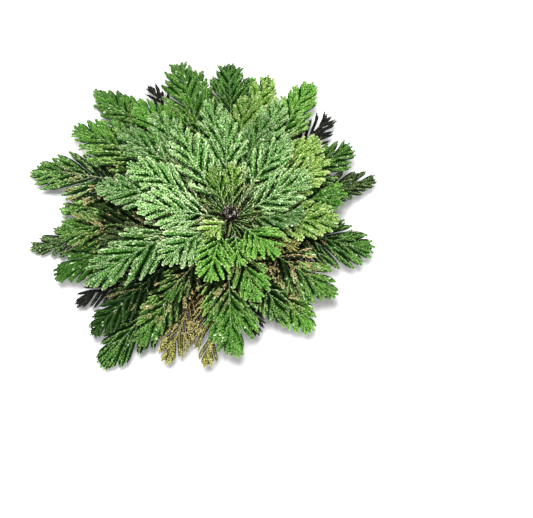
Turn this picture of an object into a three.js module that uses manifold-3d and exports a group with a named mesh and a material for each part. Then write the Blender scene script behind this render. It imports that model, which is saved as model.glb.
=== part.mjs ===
// A rose of Jericho, open and green: a short woody crown on a tuft of roots, and round it a
// flat spiral rosette of forked, fern-like fronds.
// Millimetres, +Z up. The origin is the middle of the flat spot that the crown stands on.

import * as THREE from 'three';
import { mergeVertices } from 'three/addons/utils/BufferGeometryUtils.js';
import Module from 'manifold-3d';

const wasm = await Module();
wasm.setup();

// ---------- driving dimensions ----------

// The axis that the fronds grow round leans a little off the middle of the flat spot.
const AXIS = { x: 3, y: -2 };

// The woody foot of the crown, from the flat spot up to the first frond, one ring for each
// height. Above it the crown follows the inner ends of the fronds up to its top.
const FOOT_RINGS = [
  { z: 0, radius: 13 },
  { z: 1.5, radius: 13.4 },
  { z: 4.2, radius: 11.6 },
  { z: 7.2, radius: 9 },
];
const CROWN_TOP = { z: 26, radius: 1.6 };
const CROWN_SIDES = 16;
const CROWN_RIDGES = { count: 5, depth: 0.07, twist: 0.35 };

// The roots leave the crown low down and sink to just above the ground. Their path goes from the
// start radius (out 0) to the reach (out 1); sway is a share of a sideways turn drawn for each.
const ROOTS = {
  count: 15,
  startRadius: 8,
  reach: [19, 25],
  thickness: [2.6, 0.8],
  uneven: 0.6,
  wander: 0.5,
  path: [
    { out: 0, height: 5, sway: 0 },
    { out: 0.45, height: 2.75, sway: 1 },
    { out: 0.75, height: 1.2, sway: 0.4 },
    { out: 1, height: 0.9, sway: -0.6 },
  ],
  steps: 5,
  sides: 5,
  seed: 11,
};

// Young tips, still rolled up, stand in the hollow at the top of the crown.
const CURLED_TIPS = {
  count: 8,
  ring: 1.7,
  length: 3.4,
  radius: 0.8,
  lean: 20,
  foot: 24.4,
  sides: 6,
  rings: 4,
};

// Fronds lie in nested bowl-like layers, so that none cuts another. A layer starts at the crown
// (radius, height), rises outwards and bends down again; layers between the two are blends.
const LAYERS = 12;
const LOWEST_LAYER = { radius: 8.5, height: 10, rise: 0.27, fall: 0.0042 };
const HIGHEST_LAYER = { radius: 3.2, height: 24, rise: 0.95, fall: 0.01 };

// What all fronds share. A frond is a stalk, then a blade cut to its rib into forked lobes, the
// pinnae, and one terminal lobe. Angles are in degrees from the rib, sizes in millimetres.
const GAP_TO_CROWN = 0.35;
const STALK = { halfWidth: 0.75, thickness: 1.15, steps: 3 };
const RIB = { halfWidth: 0.75, tipHalfWidth: 0.5 };
const BLADE_THICKNESS = 0.72;
const DROOP_OF_EDGES = 0.008;
const PINNA = {
  spacing: 9,
  angle: [42, 22],
  gap: 3,
  forkDepth: 0.2,
  varyLength: 0.08,
  varyLean: 1.4,
};
const TERMINAL = { length: 0.4, forkDepth: 0.3 };
const BLADE_SWELL = { foot: 0.06, shift: 1.25, fullness: 0.5 };

// What sets one kind of frond apart: where its blade starts, as a share of its length, how much
// wider the gaps between its pinnae are (degrees) and the colour. Old dry fronds gape the most.
const KINDS = {
  green: { bladeStart: 0.2, extraGap: 0, colour: 0x3f8a2e },
  dark: { bladeStart: 0.22, extraGap: 0.5, colour: 0x225c33 },
  pale: { bladeStart: 0.14, extraGap: 0, colour: 0x86b673 },
  lime: { bladeStart: 0.15, extraGap: 0, colour: 0x96c648 },
  olive: { bladeStart: 0.22, extraGap: 3, colour: 0x5f6b3a },
  straw: { bladeStart: 0.12, extraGap: 3, colour: 0xbfa968 },
  black: { bladeStart: 0.2, extraGap: 5, colour: 0x23291f },
};

// One row for each frond: name, bearing of the tip (degrees from +X towards +Y), reach from the
// axis, layer (0 lies lowest), breadth of the blade, sideways bend (degrees) and kind.
const FRONDS = [
  // the outer whorl, round from the right
  ['outer_01', 20.5, 73, 0, 18, 14, 'olive'],
  ['outer_02', 34, 69, 2, 22, -6, 'dark'],
  ['outer_03', 51, 75, 0, 22, 5, 'black'],
  ['outer_04', 63, 84, 2, 19, -8, 'green'],
  ['outer_05', 77, 78, 3, 16, 5, 'lime'],
  ['outer_06', 83, 81, 0, 18, -5, 'green'],
  ['outer_07', 91, 87, 2, 24, -6, 'dark'],
  ['outer_08', 107, 90, 3, 26, 6, 'green'],
  ['outer_09', 117, 87, 0, 15, 6, 'black'],
  ['outer_10', 126, 74, 4, 22, 5, 'green'],
  ['outer_11', 130.5, 100, 1, 22, -6, 'green'],
  ['outer_12', 145, 90, 3, 25, 7, 'green'],
  ['outer_13', 161, 99, 2, 29, -6, 'dark'],
  ['outer_14', 173, 79, 1, 20, 6, 'green'],
  ['outer_15', 184, 79, 3, 23, 7, 'green'],
  ['outer_16', 184.5, 93, 0, 19, 8, 'olive'],
  ['outer_17', 197, 84, 2, 23, -6, 'green'],
  ['outer_18', 208, 80, 0, 20, 6, 'black'],
  ['outer_19', 221, 83, 2, 19, -5, 'dark'],
  ['outer_20', 229.5, 89, 1, 27, 6, 'dark'],
  ['outer_21', 237, 74, 3, 18, -6, 'green'],
  ['outer_22', 247, 73, 0, 22, -6, 'straw'],
  ['outer_23', 261.5, 71, 1, 20, -4, 'straw'],
  ['outer_24', 271, 68, 3, 27, -4, 'green'],
  ['outer_25', 282, 57, 0, 16, -2, 'black'],
  ['outer_26', 295, 57, 2, 19, 6, 'dark'],
  ['outer_27', 304, 65, 1, 21, -6, 'green'],
  ['outer_28', 320, 62, 3, 24, -6, 'green'],
  ['outer_29', 347.5, 67, 1, 27, 6, 'dark'],
  // the middle whorl
  ['middle_01', 11, 54, 4, 21, -6, 'green'],
  ['middle_02', 28, 51, 6, 22, 6, 'lime'],
  ['middle_03', 42.5, 56, 4, 20, 6, 'lime'],
  ['middle_04', 68, 61, 5, 18, -6, 'pale'],
  ['middle_05', 83, 61, 4, 19, 5, 'lime'],
  ['middle_06', 100, 56, 6, 17, -6, 'pale'],
  ['middle_07', 126, 62, 5, 19, 6, 'pale'],
  ['middle_08', 142, 65, 6, 20, -5, 'pale'],
  ['middle_09', 156, 51, 7, 18, 6, 'pale'],
  ['middle_10', 168, 62, 5, 19, -6, 'pale'],
  ['middle_11', 195, 61, 4, 19, 6, 'olive'],
  ['middle_12', 209, 73, 6, 25, -7, 'pale'],
  ['middle_13', 236, 52, 4, 20, 6, 'green'],
  ['middle_14', 286, 47, 5, 18, -6, 'green'],
  ['middle_15', 331, 36, 4, 14, 8, 'straw'],
  ['middle_16', 351, 50, 6, 21, -7, 'lime'],
  // the inner whorl
  ['inner_01', 17, 39, 9, 19, -7, 'pale'],
  ['inner_02', 50, 43, 8, 18, 6, 'pale'],
  ['inner_03', 70, 49, 7, 16, 9, 'pale'],
  ['inner_04', 92, 43, 8, 18, 8, 'pale'],
  ['inner_05', 124, 44, 9, 18, 12, 'pale'],
  ['inner_06', 184, 42, 9, 22, 8, 'pale'],
  ['inner_07', 225, 42, 8, 21, -8, 'pale'],
  ['inner_08', 257, 42, 9, 18, -6, 'green'],
  ['inner_09', 279, 32, 8, 15, 6, 'green'],
  ['inner_10', 308, 35, 9, 20, 6, 'green'],
  ['inner_11', 351, 34, 8, 18, -8, 'pale'],
  // young fronds at the crown
  ['young_01', 87, 21, 10, 10, -10, 'lime'],
  ['young_02', 114, 20, 11, 11, 10, 'lime'],
  ['young_03', 236, 20, 11, 12, 8, 'lime'],
];

// Old dead fronds lie under the rosette in layers of their own, and are one with the crown, into
// which they are sunk. They stand evenly round it, but for a small draw of bearing, reach, breadth
// and bend for each.
const DEAD_FRONDS = {
  whorls: [
    { layer: -1.5, count: 9, bearing: 8 },
    { layer: -3, count: 9, bearing: 28 },
  ],
  vary: 6,
  reach: [42, 52],
  breadth: [16, 20],
  bend: 12,
  sunk: 2.5,
  kind: 'black',
  seed: 501,
};

// ---------- helpers ----------

const radians = THREE.MathUtils.degToRad;
const blend = THREE.MathUtils.lerp;

// A seeded draw between 0 and 1, the same in every run.
function seededDraw(seed) {
  let state = seed;
  return () => {
    state = (state * 1664525 + 1013904223) % 4294967296;
    return state / 4294967296;
  };
}

function closedGeometry(points, triangles) {
  const geometry = new THREE.BufferGeometry();
  const positions = points.flatMap((point) => [point.x, point.y, point.z]);
  geometry.setAttribute('position', new THREE.Float32BufferAttribute(positions, 3));
  geometry.setIndex(triangles.flat());
  geometry.computeVertexNormals();
  return geometry;
}

function toSolid(geometry) {
  const bare = geometry.clone();
  bare.deleteAttribute('normal');
  bare.deleteAttribute('uv');
  const merged = mergeVertices(bare);
  return new wasm.Manifold(new wasm.Mesh({
    numProp: 3,
    vertProperties: Float32Array.from(merged.getAttribute('position').array),
    triVerts: Uint32Array.from(merged.getIndex().array),
  }));
}

function toGeometry(solid) {
  const mesh = solid.getMesh();
  const geometry = new THREE.BufferGeometry();
  geometry.setAttribute('position', new THREE.BufferAttribute(mesh.vertProperties, 3));
  geometry.setIndex(new THREE.BufferAttribute(mesh.triVerts, 1));
  geometry.computeVertexNormals();
  return geometry;
}

// Rings of points, one above the other, closed to one skin with a fan at each end.
function loft(rings) {
  const sides = rings[0].length;
  const triangles = [];
  for (let ring = 0; ring + 1 < rings.length; ring += 1) {
    for (let side = 0; side < sides; side += 1) {
      const next = (side + 1) % sides;
      const low = ring * sides;
      const high = low + sides;
      triangles.push([low + side, low + next, high + next]);
      triangles.push([low + side, high + next, high + side]);
    }
  }
  const last = (rings.length - 1) * sides;
  for (let side = 1; side + 1 < sides; side += 1) {
    triangles.push([0, side + 1, side]);
    triangles.push([last, last + side, last + side + 1]);
  }
  return closedGeometry(rings.flat(), triangles);
}

// ---------- the layers that the fronds lie in ----------

function layerShare(layer) {
  return layer / (LAYERS - 1);
}

function archHeight(arch, radius) {
  const out = radius - arch.radius;
  return arch.height + arch.rise * out - arch.fall * out * out;
}

function archSlope(arch, radius) {
  return arch.rise - 2 * arch.fall * (radius - arch.radius);
}

function layerStart(layer) {
  return blend(LOWEST_LAYER.radius, HIGHEST_LAYER.radius, layerShare(layer));
}

function layerHeight(layer, radius) {
  const low = archHeight(LOWEST_LAYER, radius);
  const high = archHeight(HIGHEST_LAYER, radius);
  return blend(low, high, layerShare(layer));
}

function layerSlope(layer, radius) {
  const low = archSlope(LOWEST_LAYER, radius);
  const high = archSlope(HIGHEST_LAYER, radius);
  return blend(low, high, layerShare(layer));
}

// ---------- the rootstock ----------

function crownGeometry() {
  const profile = [...FOOT_RINGS];
  for (const layer of [0, 2, 4, 6, 8, 10, LAYERS - 1]) {
    profile.push({ z: layerHeight(layer, layerStart(layer)), radius: layerStart(layer) });
  }
  profile.push(CROWN_TOP);
  const rings = profile.map((ring) => {
    const lean = Math.min(ring.z / LOWEST_LAYER.height, 1);
    return Array.from({ length: CROWN_SIDES }, (_, side) => {
      const angle = (side / CROWN_SIDES) * 2 * Math.PI;
      const ridge = Math.cos(CROWN_RIDGES.count * angle + CROWN_RIDGES.twist * ring.z);
      const radius = ring.radius * (1 - CROWN_RIDGES.depth * (0.5 + 0.5 * ridge));
      return new THREE.Vector3(
        AXIS.x * lean + radius * Math.cos(angle),
        AXIS.y * lean + radius * Math.sin(angle),
        ring.z,
      );
    });
  });
  return loft(rings);
}

function rootGeometry(index, draw) {
  const bearing = ((index + ROOTS.uneven * draw()) / ROOTS.count) * 2 * Math.PI;
  const reach = blend(ROOTS.reach[0], ROOTS.reach[1], draw());
  const wander = (draw() - 0.5) * ROOTS.wander;
  const curve = new THREE.CatmullRomCurve3(ROOTS.path.map(({ out, height, sway }) => {
    const radius = blend(ROOTS.startRadius, reach, out);
    const turn = bearing + wander * sway;
    return new THREE.Vector3(radius * Math.cos(turn), radius * Math.sin(turn), height);
  }));
  const frames = curve.computeFrenetFrames(ROOTS.steps);
  const rings = Array.from({ length: ROOTS.steps + 1 }, (_, step) => {
    const along = step / ROOTS.steps;
    const centre = curve.getPointAt(along);
    const half = blend(ROOTS.thickness[0], ROOTS.thickness[1], along) / 2;
    return Array.from({ length: ROOTS.sides }, (_, side) => {
      const angle = (side / ROOTS.sides) * 2 * Math.PI;
      return centre.clone()
        .addScaledVector(frames.normals[step], half * Math.cos(angle))
        .addScaledVector(frames.binormals[step], half * Math.sin(angle));
    });
  });
  return loft(rings);
}

function curledTipGeometry(index) {
  const turn = (index / CURLED_TIPS.count) * 2 * Math.PI;
  return new THREE.SphereGeometry(1, CURLED_TIPS.sides, CURLED_TIPS.rings)
    .rotateX(Math.PI / 2)
    .scale(CURLED_TIPS.radius, CURLED_TIPS.radius, CURLED_TIPS.length / 2)
    .translate(0, 0, CURLED_TIPS.length / 2)
    .rotateY(radians(CURLED_TIPS.lean))
    .translate(CURLED_TIPS.ring, 0, CURLED_TIPS.foot)
    .rotateZ(turn)
    .translate(AXIS.x, AXIS.y, 0);
}

// Crown, roots, rolled tips and dead fronds grow as one piece, cut flat where it stands on the
// ground.
function rootstockGeometry() {
  const draw = seededDraw(ROOTS.seed);
  const roots = Array.from({ length: ROOTS.count }, (_, index) => rootGeometry(index, draw));
  const tips = Array.from({ length: CURLED_TIPS.count }, (_, index) => curledTipGeometry(index));
  const dead = deadFrondRows().map((row, index) => (
    frondGeometry(frondShape(row, FRONDS.length + index, -DEAD_FRONDS.sunk))
  ));
  const grown = wasm.Manifold.union([crownGeometry(), ...roots, ...tips, ...dead].map(toSolid));
  const breadth = 3 * ROOTS.reach[1];
  const ground = new THREE.BoxGeometry(breadth, breadth, breadth).translate(0, 0, -breadth / 2);
  return toGeometry(grown.subtract(toSolid(ground)));
}

function deadFrondRows() {
  const draw = seededDraw(DEAD_FRONDS.seed);
  return DEAD_FRONDS.whorls.flatMap(({ layer, count, bearing }) => (
    Array.from({ length: count }, (_, index) => [
      'dead',
      bearing + (index / count) * 360 + (draw() - 0.5) * DEAD_FRONDS.vary,
      blend(DEAD_FRONDS.reach[0], DEAD_FRONDS.reach[1], draw()),
      layer,
      blend(DEAD_FRONDS.breadth[0], DEAD_FRONDS.breadth[1], draw()),
      (draw() - 0.5) * DEAD_FRONDS.bend,
      DEAD_FRONDS.kind,
    ])
  ));
}

// ---------- a frond ----------

// A frond is drawn flat, u along it and w across it, and then laid on its layer.
function frondShape(row, index, gapToCrown) {
  const [name, bearing, reach, layer, breadth, bend, kind] = row;
  const start = layerStart(layer) + gapToCrown;
  const length = reach - start;
  return {
    name,
    bearing: radians(bearing),
    bend: radians(bend),
    start,
    length,
    bladeStart: length * KINDS[kind].bladeStart,
    bladeEnd: length - breadth * TERMINAL.length,
    gap: PINNA.gap + KINDS[kind].extraGap,
    layer,
    breadth,
    kind,
    seed: index + 1,
  };
}

// The place in space of a point (u, w), and how steep the layer is there.
function place(frond, u, w) {
  const left = 1 - u / frond.length;
  const radius = frond.start + u;
  const bearing = frond.bearing + frond.bend * left * left;
  const turning = (-2 * frond.bend * left) / frond.length;
  const forward = new THREE.Vector2(1, radius * turning).normalize()
    .rotateAround(new THREE.Vector2(), bearing);
  const spot = new THREE.Vector2(radius, 0).rotateAround(new THREE.Vector2(), bearing);
  const x = spot.x - forward.y * w;
  const y = spot.y + forward.x * w;
  const away = Math.hypot(x, y);
  const z = layerHeight(frond.layer, away) - DROOP_OF_EDGES * w * w;
  const slope = layerSlope(frond.layer, away);
  return { x: AXIS.x + x, y: AXIS.y + y, z, steepness: Math.hypot(1, slope) };
}

// Half the breadth of the blade at u: narrow at its foot, broadest past the middle, round at its end.
function halfBreadth(frond, u) {
  const along = (u - frond.bladeStart) / (frond.length - frond.bladeStart);
  const shifted = THREE.MathUtils.clamp(along, 0, 1) ** BLADE_SWELL.shift;
  const swell = Math.sin(Math.PI * blend(BLADE_SWELL.foot, 1, shifted));
  return (frond.breadth / 2) * swell ** BLADE_SWELL.fullness;
}

// How far a line leaves its station on the rib, at an angle, before it meets the outline.
function lengthToOutline(frond, station, angle) {
  let near = 0;
  let far = frond.breadth;
  while (far - near > 0.01) {
    const middle = (near + far) / 2;
    const w = station.half + middle * Math.sin(angle);
    const inside = w < halfBreadth(frond, station.u + middle * Math.cos(angle));
    if (inside) near = middle;
    else far = middle;
  }
  return near;
}

// One pinna, between two stations on the rib: back tip, fork, fore tip.
function pinnaPoints(frond, side, rear, fore, draw) {
  const vary = 1 - draw() * PINNA.varyLength;
  const swing = (draw() - 0.5) * PINNA.varyLean;
  const tip = (station, lean) => {
    const turn = radians(station.angle + lean + swing);
    const length = lengthToOutline(frond, station, turn) * vary;
    return {
      u: station.u + length * Math.cos(turn),
      w: side * (station.half + length * Math.sin(turn)),
    };
  };
  const backTip = tip(rear, -frond.gap / 2);
  const foreTip = tip(fore, frond.gap / 2);
  const root = { u: (rear.u + fore.u) / 2, w: side * rear.half };
  const fork = {
    u: blend((backTip.u + foreTip.u) / 2, root.u, PINNA.forkDepth),
    w: blend((backTip.w + foreTip.w) / 2, root.w, PINNA.forkDepth),
  };
  return [backTip, fork, foreTip];
}

// The terminal lobe, from right to left: side tip, fork, middle tip, fork, side tip. Half a gap
// parts each of its sides from the last pinna.
function terminalPoints(frond, end) {
  const turn = radians(end.angle - frond.gap / 2);
  const length = frond.length - end.u;
  const sideLength = lengthToOutline(frond, end, turn);
  const forkLength = length * (1 - TERMINAL.forkDepth);
  const point = (angle, far) => ({
    u: end.u + far * Math.cos(angle),
    w: far * Math.sin(angle) + Math.sign(angle) * end.half,
  });
  return [
    point(-turn, sideLength),
    point(-turn / 2, forkLength),
    point(0, length),
    point(turn / 2, forkLength),
    point(turn, sideLength),
  ];
}

// The stations on the rib: a few along the stalk, then one between each two pairs of pinnae.
function ribStations(frond, pairs) {
  const onStalk = Array.from({ length: STALK.steps }, (_, step) => ({
    u: (frond.bladeStart * step) / STALK.steps,
    half: STALK.halfWidth,
  }));
  const onBlade = Array.from({ length: pairs + 1 }, (_, step) => ({
    u: blend(frond.bladeStart, frond.bladeEnd, step / pairs),
    half: blend(RIB.halfWidth, RIB.tipHalfWidth, step / pairs),
    angle: blend(PINNA.angle[0], PINNA.angle[1], step / pairs),
  }));
  return [...onStalk, ...onBlade];
}

// The outline's points in order, up the right side and down the left, and the patches that
// they bound: one for each pinna, one for the terminal lobe and one for each step of the rib.
function frondOutline(frond) {
  const pairs = Math.max(3, Math.round((frond.bladeEnd - frond.bladeStart) / PINNA.spacing));
  const stations = ribStations(frond, pairs);
  const draw = seededDraw(frond.seed);
  const points = [];
  const patches = [];
  const add = (point) => points.push(point) - 1;

  const addSide = (side, order) => {
    const rib = [];
    for (const index of order) {
      rib[index] = add({ u: stations[index].u, w: side * stations[index].half });
      const pinna = (side < 0 ? index : index - 1) - STALK.steps;
      if (pinna < 0 || pinna >= pairs) continue;
      const rear = stations[STALK.steps + pinna];
      const fore = stations[STALK.steps + pinna + 1];
      const lobe = pinnaPoints(frond, side, rear, fore, draw);
      const drawn = (side < 0 ? lobe : lobe.reverse()).map(add);
      patches.push([rib[index], ...drawn, drawn.at(-1) + 1]);
    }
    return rib;
  };

  const order = stations.map((_, index) => index);
  const right = addSide(-1, order);
  const end = terminalPoints(frond, stations.at(-1)).map(add);
  const left = addSide(1, order.reverse());
  patches.push([right.at(-1), ...end, left.at(-1)]);
  for (let index = 0; index + 1 < stations.length; index += 1) {
    patches.push([right[index], right[index + 1], left[index + 1], left[index]]);
  }
  return { points, patches };
}

// The same triangles serve the upper and the lower face, so the two faces never cross.
function frondGeometry(frond) {
  const { points, patches } = frondOutline(frond);
  const faces = patches.flatMap((patch) => {
    const corners = patch.map((index) => new THREE.Vector2(points[index].u, points[index].w));
    return THREE.ShapeUtils.triangulateShape(corners, []).map(([a, b, c]) => {
      const clockwise = THREE.ShapeUtils.isClockWise([corners[a], corners[b], corners[c]]);
      const ordered = clockwise ? [a, c, b] : [a, b, c];
      return ordered.map((corner) => patch[corner]);
    });
  });
  const surface = points.map((point) => {
    const spot = place(frond, point.u, point.w);
    const pastStalk = Math.min(point.u / frond.bladeStart, 1);
    const thickness = blend(STALK.thickness, BLADE_THICKNESS, pastStalk);
    const half = (thickness * spot.steepness) / 2;
    return { ...spot, half };
  });
  const upper = surface.map((spot) => new THREE.Vector3(spot.x, spot.y, spot.z + spot.half));
  const lower = surface.map((spot) => new THREE.Vector3(spot.x, spot.y, spot.z - spot.half));
  const count = points.length;
  const triangles = [];
  for (const [a, b, c] of faces) {
    triangles.push([a, b, c]);
    triangles.push([count + a, count + c, count + b]);
  }
  for (let index = 0; index < count; index += 1) {
    const next = (index + 1) % count;
    triangles.push([index, count + index, count + next]);
    triangles.push([index, count + next, next]);
  }
  return closedGeometry([...upper, ...lower], triangles);
}

// ---------- the plant ----------

const woody = new THREE.MeshStandardMaterial({ color: 0x6b4a34, roughness: 0.9, metalness: 0 });
const leafy = Object.fromEntries(Object.entries(KINDS).map(([kind, { colour }]) => [
  kind,
  new THREE.MeshStandardMaterial({ color: colour, roughness: 0.65, metalness: 0 }),
]));

const plant = new THREE.Group();

const rootstock = new THREE.Mesh(rootstockGeometry(), woody);
rootstock.name = 'rootstock';
plant.add(rootstock);

FRONDS.forEach((row, index) => {
  const frond = frondShape(row, index, GAP_TO_CROWN);
  const mesh = new THREE.Mesh(frondGeometry(frond), leafy[frond.kind]);
  mesh.name = frond.name;
  plant.add(mesh);
});

export default plant;
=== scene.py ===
import math

import bmesh
import bpy
import numpy as np
from mathutils import Matrix, Vector


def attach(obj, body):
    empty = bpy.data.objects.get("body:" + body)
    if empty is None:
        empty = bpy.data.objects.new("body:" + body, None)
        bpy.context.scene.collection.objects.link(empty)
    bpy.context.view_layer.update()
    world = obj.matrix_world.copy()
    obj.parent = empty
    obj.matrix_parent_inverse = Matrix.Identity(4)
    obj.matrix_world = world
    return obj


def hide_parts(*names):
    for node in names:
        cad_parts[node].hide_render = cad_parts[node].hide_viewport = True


# A rose of Jericho, open and green. Every frond is grown flat, as if pressed in a book, as stems
# clad in scale leaves, and is then bent on to the bowl-like layer that it lies in.
# Sizes are in millimetres until a piece is finished; its mesh is then in metres.

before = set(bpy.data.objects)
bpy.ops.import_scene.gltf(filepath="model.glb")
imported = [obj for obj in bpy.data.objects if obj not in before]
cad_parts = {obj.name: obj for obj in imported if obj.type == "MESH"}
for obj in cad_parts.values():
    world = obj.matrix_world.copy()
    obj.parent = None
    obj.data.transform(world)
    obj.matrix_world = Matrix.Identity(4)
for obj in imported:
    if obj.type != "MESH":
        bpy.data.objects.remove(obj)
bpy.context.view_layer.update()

MM = 0.001
# a length too short to matter
TINY = 0.05
# the turn from one leaf to the next along a spiral, in degrees
SPIRAL = 137.5

# ---------- the plan of the plant: the same rules as the solid fronds ----------

# where the axis of the crown is, and the layers that the fronds lie in: where each starts at the
# crown, how steeply it rises there and how soon it falls
AXIS = (3.0, -2.0)
LAYERS = 12
LOWEST_LAYER = {"radius": 8.5, "height": 10.0, "rise": 0.27, "fall": 0.0042}
HIGHEST_LAYER = {"radius": 3.2, "height": 24.0, "rise": 0.95, "fall": 0.01}

GAP_TO_CROWN = 0.35
DROOP_OF_EDGES = 0.008
# the angle between rachis and branches, at the foot of the blade and at its end
BRANCH_ANGLE = (44, 22)
# the length of the fan of branches at the end, as a share of the frond's breadth
END_FAN = 0.4
# how wide a blade starts, how far out it is broadest, and how full its outline is
BLADE_SWELL = {"foot": 0.06, "shift": 1.25, "fullness": 0.5}

# name, bearing of the tip (degrees), reach from the axis, layer, breadth, sideways bend, kind
FRONDS = [
    ("outer_01", 20.5, 73, 0, 18, 14, "olive"),
    ("outer_02", 34, 69, 2, 22, -6, "dark"),
    ("outer_03", 51, 75, 0, 22, 5, "black"),
    ("outer_04", 63, 84, 2, 19, -8, "green"),
    ("outer_05", 77, 78, 3, 16, 5, "lime"),
    ("outer_06", 83, 81, 0, 18, -5, "green"),
    ("outer_07", 91, 87, 2, 24, -6, "dark"),
    ("outer_08", 107, 90, 3, 26, 6, "green"),
    ("outer_09", 117, 87, 0, 15, 6, "black"),
    ("outer_10", 126, 74, 4, 22, 5, "green"),
    ("outer_11", 130.5, 100, 1, 22, -6, "green"),
    ("outer_12", 145, 90, 3, 25, 7, "green"),
    ("outer_13", 161, 99, 2, 29, -6, "dark"),
    ("outer_14", 173, 79, 1, 20, 6, "green"),
    ("outer_15", 184, 79, 3, 23, 7, "green"),
    ("outer_16", 184.5, 93, 0, 19, 8, "olive"),
    ("outer_17", 197, 84, 2, 23, -6, "green"),
    ("outer_18", 208, 80, 0, 20, 6, "black"),
    ("outer_19", 221, 83, 2, 19, -5, "dark"),
    ("outer_20", 229.5, 89, 1, 27, 6, "dark"),
    ("outer_21", 237, 74, 3, 18, -6, "green"),
    ("outer_22", 247, 73, 0, 22, -6, "straw"),
    ("outer_23", 261.5, 71, 1, 20, -4, "straw"),
    ("outer_24", 271, 68, 3, 27, -4, "green"),
    ("outer_25", 282, 57, 0, 16, -2, "black"),
    ("outer_26", 295, 57, 2, 19, 6, "dark"),
    ("outer_27", 304, 65, 1, 21, -6, "green"),
    ("outer_28", 320, 62, 3, 24, -6, "green"),
    ("outer_29", 347.5, 67, 1, 27, 6, "dark"),
    ("middle_01", 11, 54, 4, 21, -6, "green"),
    ("middle_02", 28, 51, 6, 22, 6, "lime"),
    ("middle_03", 42.5, 56, 4, 20, 6, "lime"),
    ("middle_04", 68, 61, 5, 18, -6, "pale"),
    ("middle_05", 83, 61, 4, 19, 5, "lime"),
    ("middle_06", 100, 56, 6, 17, -6, "pale"),
    ("middle_07", 126, 62, 5, 19, 6, "pale"),
    ("middle_08", 142, 65, 6, 20, -5, "pale"),
    ("middle_09", 156, 51, 7, 18, 6, "pale"),
    ("middle_10", 168, 62, 5, 19, -6, "pale"),
    ("middle_11", 195, 61, 4, 19, 6, "olive"),
    ("middle_12", 209, 73, 6, 25, -7, "pale"),
    ("middle_13", 236, 52, 4, 20, 6, "green"),
    ("middle_14", 286, 47, 5, 18, -6, "green"),
    ("middle_15", 331, 36, 4, 14, 8, "straw"),
    ("middle_16", 351, 50, 6, 21, -7, "lime"),
    ("inner_01", 17, 39, 9, 19, -7, "pale"),
    ("inner_02", 50, 43, 8, 18, 6, "pale"),
    ("inner_03", 70, 49, 7, 16, 9, "pale"),
    ("inner_04", 92, 43, 8, 18, 8, "pale"),
    ("inner_05", 124, 44, 9, 18, 12, "pale"),
    ("inner_06", 184, 42, 9, 22, 8, "pale"),
    ("inner_07", 225, 42, 8, 21, -8, "pale"),
    ("inner_08", 257, 42, 9, 18, -6, "green"),
    ("inner_09", 279, 32, 8, 15, 6, "green"),
    ("inner_10", 308, 35, 9, 20, 6, "green"),
    ("inner_11", 351, 34, 8, 18, -8, "pale"),
    ("young_01", 87, 21, 10, 10, -10, "lime"),
    ("young_02", 114, 20, 11, 11, 10, "lime"),
    ("young_03", 236, 20, 11, 12, 8, "lime"),
]

# how much lighter or darker than its kind a frond is, by its number in its whorl
SHADES = {
    "outer": {1: 0.05, 2: 0.12, 4: 0.9, 7: 0.2, 8: -0.2, 10: 0.1, 11: -0.35, 13: 0.6, 14: -0.2,
              15: -0.35, 16: 0.65, 17: -1.0, 19: -0.9, 20: 0.65, 21: -0.4, 22: 0.2, 24: -0.3,
              26: 0.65, 28: -0.2, 29: 0.2},
    "middle": {1: -0.25, 2: 0.1, 3: 0.1, 5: -0.25, 7: -0.2, 8: -0.5, 9: 0.15, 10: -0.35,
               11: -0.35, 12: -0.3, 13: -0.5, 15: -0.1, 16: -0.15},
    "inner": {3: -0.55, 4: -0.1, 5: 0.1, 6: 0.35, 8: 0.3, 9: 0.75, 10: 0.3, 11: -0.7},
    "young": {1: -0.15, 2: -0.5, 3: 0.35},
}
# how much a frond strays from that
OWN_SHADE = 0.04

# what share of the dead leaves clings to the bare foot of a frond, in a few layers
CLINGING = ((-3, 0, 11), (0.1, 0.7, 0.6))
# what share of the stems has dried, and where it is another share; mat and stubs have no number
DRIED = 0.1
DRIED_ON = {
    "outer": {13: 0.2, 14: 0.03, 15: 0.05, 21: 0.3, 22: 0.7, 23: 0.6, 26: 0.35, 27: 0.6, 28: 0.6},
    "middle": {8: 0.3, 9: 0.5, 10: 0.4, 11: 0.4, 13: 0.3, 14: 0.7},
    "dead": {0: 0.3}, "stub": {0: 0.14},
}
# how far out a frond is bare, and how far out its leaves are old, in the lowest and the highest
# layer; how much further out than bare it is old at least; and the fronds that are barer
BARE_FOOT = (0.46, 0.04)
OLD_FOOT = (0.8, 0.2)
OLD_BEYOND_BARE = 0.2
BARE_UP_TO = {
    "outer": {12: 0.55, 13: 0.62, 14: 0.74, 15: 0.7, 17: 0.62, 19: 0.62, 20: 0.62, 21: 0.62,
              22: 0.5, 24: 0.42, 26: 0.6, 27: 0.6, 28: 0.55, 29: 0.5},
    "middle": {11: 0.5, 13: 0.66, 14: 0.4},
}

# how much wider the gaps between branches are on sparse fronds
SPARSE = {
    "outer": {1: 0.5, 2: 0.4, 7: 0.4, 13: 0.3, 16: 0.5, 19: 0.7, 20: 1.0, 26: 0.5, 29: 0.4},
    "middle": {12: 0.3, 13: 0.4},
}

# How a kind of frond grows: where its blade starts, how far apart its branches are, how high they
# rise, what share of them has been lost, and how broad the leaves still make the others.
HABIT = ("start", "apart", "rise", "lost", "broad")
HABITS = {
    "green": (0.2, 2.9, 1.1, 0.0, 1.0), "dark": (0.22, 2.8, 1.1, 0.0, 0.95),
    "pale": (0.1, 3.3, 1.05, 0.0, 1.0), "lime": (0.12, 3.1, 1.1, 0.0, 1.0),
    "olive": (0.22, 2.6, 1.3, 0.05, 0.85), "straw": (0.12, 2.1, 1.6, 0.05, 0.7),
    "black": (0.2, 2.2, 1.6, 0.05, 0.59), "dead": (0.2, 3.0, 1.0, 0.1, 0.7),
}

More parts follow.
